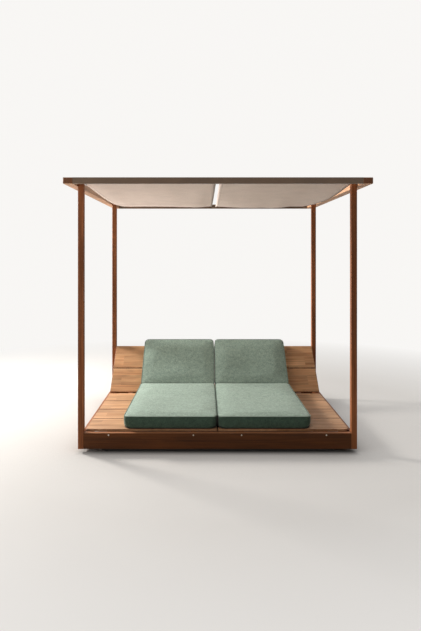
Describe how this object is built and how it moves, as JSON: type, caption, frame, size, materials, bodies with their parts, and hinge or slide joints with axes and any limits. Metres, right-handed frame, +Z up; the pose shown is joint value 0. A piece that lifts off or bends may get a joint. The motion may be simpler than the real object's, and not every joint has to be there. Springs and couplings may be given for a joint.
{
  "type": "outdoor daybed with canopy",
  "caption": "Outdoor daybed on a recessed plinth: timber deck, posts carrying a roof frame with hanging fabric sheets, propped hinged backrests and loose cushions.",
  "frame": {"origin": "on the floor, under the middle of the roof", "axes": "+X to the right seen from the front, +Y towards the back along the roof's length, +Z up"},
  "size_m": [2.5606, 2.59, 2.34],
  "materials": {
    "teak_frame": "satin",
    "teak_deck": "satin",
    "plinth_coating": "matte",
    "bronze_bar": "satin",
    "stainless_steel": "satin",
    "pad_rubber": "matte",
    "cushion_fabric": "matte",
    "canopy_fabric": "matte"
  },
  "bodies": {
    "bed_frame": {"front_rail": "teak_frame", "rear_rail": "teak_frame", "side_rail_left": "teak_frame", "side_rail_right": "teak_frame", "post_front_left": "teak_frame", "post_front_right": "teak_frame", "post_rear_left": "teak_frame", "post_rear_right": "teak_frame", "bearer_left_inner": "teak_frame", "bearer_left_outer": "teak_frame", "bearer_right_inner": "teak_frame", "bearer_right_outer": "teak_frame", "plinth_front": "plinth_coating", "plinth_rear": "plinth_coating", "plinth_left": "plinth_coating", "plinth_right": "plinth_coating", "foot_pad_front_left": "pad_rubber", "foot_pad_front_right": "pad_rubber", "foot_pad_rear_left": "pad_rubber", "foot_pad_rear_right": "pad_rubber", "deck_board_left_1": "teak_deck", "deck_board_left_2": "teak_deck", "deck_board_left_3": "teak_deck", "deck_board_left_4": "teak_deck", "deck_board_right_1": "teak_deck", "deck_board_right_2": "teak_deck", "deck_board_right_3": "teak_deck", "deck_board_right_4": "teak_deck", "side_plate_left_inner": "stainless_steel", "side_plate_left_outer": "stainless_steel", "side_plate_right_inner": "stainless_steel", "side_plate_right_outer": "stainless_steel", "roof_beam_left": "teak_frame", "roof_beam_right": "teak_frame", "roof_bar_front": "bronze_bar", "roof_bar_rear": "bronze_bar", "canopy_sheet_left": "canopy_fabric", "canopy_sheet_right": "canopy_fabric", "seat_cushion_left": "cushion_fabric", "seat_cushion_right": "cushion_fabric"},
    "backrest_left": {"backrest_board_left_lower": "teak_deck", "backrest_board_left_upper": "teak_deck", "backrest_arm_left_inner": "teak_frame", "backrest_arm_left_outer": "teak_frame", "backrest_batten_left": "teak_frame", "hinge_plate_left_inner": "stainless_steel", "hinge_plate_left_outer": "stainless_steel", "back_cushion_left": "cushion_fabric"},
    "backrest_right": {"backrest_board_right_lower": "teak_deck", "backrest_board_right_upper": "teak_deck", "backrest_arm_right_inner": "teak_frame", "backrest_arm_right_outer": "teak_frame", "backrest_batten_right": "teak_frame", "hinge_plate_right_inner": "stainless_steel", "hinge_plate_right_outer": "stainless_steel", "back_cushion_right": "cushion_fabric"},
    "prop_arm_left": {"prop_left": "stainless_steel"},
    "prop_arm_right": {"prop_right": "stainless_steel"}
  },
  "joints": [
    {"name": "backrest_left_hinge", "type": "hinge", "parent": "bed_frame", "child": "backrest_left", "pos_m": [-0.5715, 0.227, 0.1576], "axis": [1, 0, 0], "range_deg": [-43, 0]},
    {"name": "backrest_right_hinge", "type": "hinge", "parent": "bed_frame", "child": "backrest_right", "pos_m": [0.5715, 0.227, 0.1576], "axis": [1, 0, 0], "range_deg": [-43, 0]},
    {"name": "prop_left_hinge", "type": "hinge", "parent": "backrest_left", "child": "prop_arm_left", "pos_m": [-0.5715, 0.39024, 0.29752], "axis": [1, 0, 0], "range_deg": [0, 86]},
    {"name": "prop_right_hinge", "type": "hinge", "parent": "backrest_right", "child": "prop_arm_right", "pos_m": [0.5715, 0.39024, 0.29752], "axis": [1, 0, 0], "range_deg": [0, 86]}
  ],
  "couplings": [
    {"joint": "prop_left_hinge", "follows": "backrest_left_hinge", "ratio": -2},
    {"joint": "prop_right_hinge", "follows": "backrest_right_hinge", "ratio": -2}
  ]
}
